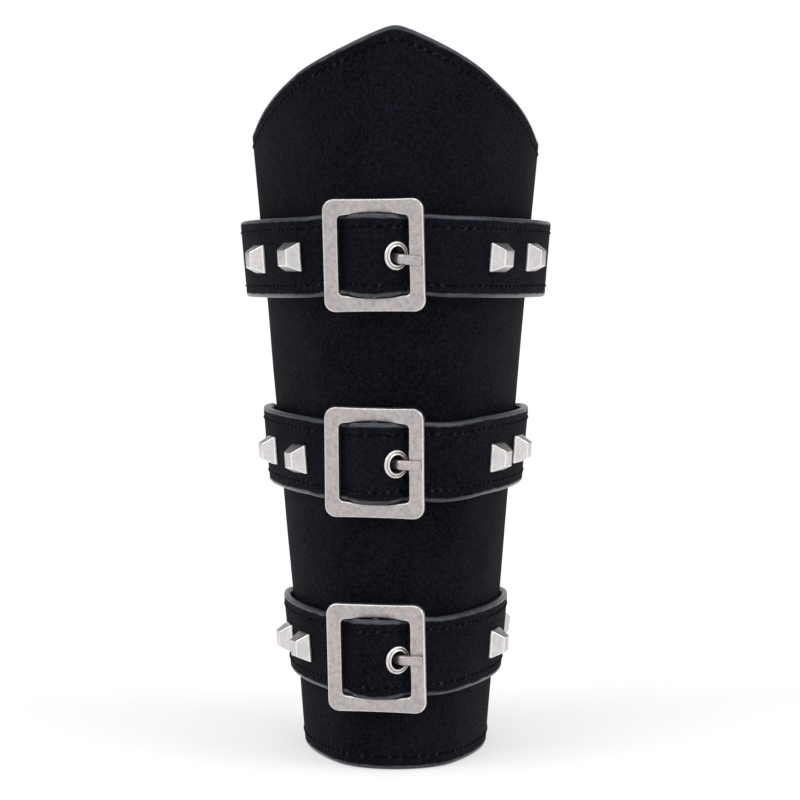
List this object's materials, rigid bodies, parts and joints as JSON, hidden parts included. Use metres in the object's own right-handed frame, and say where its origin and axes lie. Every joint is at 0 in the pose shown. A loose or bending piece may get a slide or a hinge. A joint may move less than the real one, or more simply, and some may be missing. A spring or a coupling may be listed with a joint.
{
  "type": "leather bracer",
  "caption": "Stiff black leather forearm guard with a pointed elbow end, closed by buckled and studded leather straps",
  "frame": {"origin": "middle of the bounding box at the height of the wrist rim, on which the bracer stands", "axes": "+Z from the wrist rim up to the point at the elbow, -Y the front with the buckles, +X to the right as seen from the front"},
  "size_m": [0.121, 0.149, 0.2666],
  "materials": {
    "black_leather": "matte",
    "backing_leather": "matte",
    "thread": "waxed",
    "pewter": "antiqued satin",
    "steel": "satin"
  },
  "bodies": {
    "bracer": {"shell_outer": "black_leather", "shell_lining": "backing_leather", "shell_stitching": "thread", "wrist_strap": "black_leather", "wrist_strap_backing": "backing_leather", "wrist_strap_stitching": "thread", "wrist_loop": "black_leather", "wrist_loop_rivets": "steel", "wrist_eyelet": "pewter", "wrist_eyelet_washer": "steel", "wrist_studs": "pewter", "wrist_stud_screws": "steel", "wrist_snap_stud": "steel", "wrist_snap_post": "steel", "middle_strap": "black_leather", "middle_strap_backing": "backing_leather", "middle_strap_stitching": "thread", "middle_loop": "black_leather", "middle_loop_rivets": "steel", "middle_eyelet": "pewter", "middle_eyelet_washer": "steel", "middle_studs": "pewter", "middle_stud_screws": "steel", "middle_snap_stud": "steel", "middle_snap_post": "steel", "upper_strap": "black_leather", "upper_strap_backing": "backing_leather", "upper_strap_stitching": "thread", "upper_loop": "black_leather", "upper_loop_rivets": "steel", "upper_eyelet": "pewter", "upper_eyelet_washer": "steel", "upper_studs": "pewter", "upper_stud_screws": "steel", "upper_snap_stud": "steel", "upper_snap_post": "steel"},
    "wrist_buckle": {"wrist_buckle_frame": "pewter"},
    "wrist_prong_body": {"wrist_prong": "pewter"},
    "wrist_tail_body": {"wrist_tail": "black_leather", "wrist_tail_backing": "backing_leather", "wrist_snap_cap": "pewter", "wrist_snap_socket": "steel"},
    "middle_buckle": {"middle_buckle_frame": "pewter"},
    "middle_prong_body": {"middle_prong": "pewter"},
    "middle_tail_body": {"middle_tail": "black_leather", "middle_tail_backing": "backing_leather", "middle_snap_cap": "pewter", "middle_snap_socket": "steel"},
    "upper_buckle": {"upper_buckle_frame": "pewter"},
    "upper_prong_body": {"upper_prong": "pewter"},
    "upper_tail_body": {"upper_tail": "black_leather", "upper_tail_backing": "backing_leather", "upper_snap_cap": "pewter", "upper_snap_socket": "steel"}
  },
  "joints": [
    {"name": "wrist_buckle_tilt", "type": "hinge", "parent": "bracer", "child": "wrist_buckle", "pos_m": [-0.00735, -0.05175, 0.04165], "axis": [-0.0203, -0.0855, 0.9961], "range_deg": [-1.5, 1.5]},
    {"name": "wrist_prong_lift", "type": "hinge", "parent": "wrist_buckle", "child": "wrist_prong_body", "pos_m": [-0.00735, -0.05175, 0.04165], "axis": [0.0203, 0.0855, -0.9961], "range_deg": [0, 5]},
    {"name": "wrist_tail_open", "type": "hinge", "parent": "bracer", "child": "wrist_tail_body", "pos_m": [0.02844, 0.04358, 0.042], "axis": [-0.0534, -0.1383, -0.9889], "range_deg": [0, 100]},
    {"name": "middle_buckle_tilt", "type": "hinge", "parent": "bracer", "child": "middle_buckle", "pos_m": [-0.00739, -0.05855, 0.11241], "axis": [-0.0179, -0.0862, 0.9961], "range_deg": [-1.5, 1.5]},
    {"name": "middle_prong_lift", "type": "hinge", "parent": "middle_buckle", "child": "middle_prong_body", "pos_m": [-0.00739, -0.05855, 0.11241], "axis": [0.0179, 0.0862, -0.9961], "range_deg": [0, 5]},
    {"name": "middle_tail_open", "type": "hinge", "parent": "bracer", "child": "middle_tail_body", "pos_m": [0.03322, 0.05512, 0.1128], "axis": [-0.0534, -0.1383, -0.9889], "range_deg": [0, 100]},
    {"name": "upper_buckle_tilt", "type": "hinge", "parent": "bracer", "child": "upper_buckle", "pos_m": [-0.00744, -0.0674, 0.18582], "axis": [-0.0152, -0.0869, 0.9961], "range_deg": [-1.5, 1.5]},
    {"name": "upper_prong_lift", "type": "hinge", "parent": "upper_buckle", "child": "upper_prong_body", "pos_m": [-0.00744, -0.0674, 0.18582], "axis": [0.0152, 0.0869, -0.9961], "range_deg": [0, 5]},
    {"name": "upper_tail_open", "type": "hinge", "parent": "bracer", "child": "upper_tail_body", "pos_m": [0.03834, 0.06741, 0.1864], "axis": [-0.0534, -0.1383, -0.9889], "range_deg": [0, 100]}
  ]
}
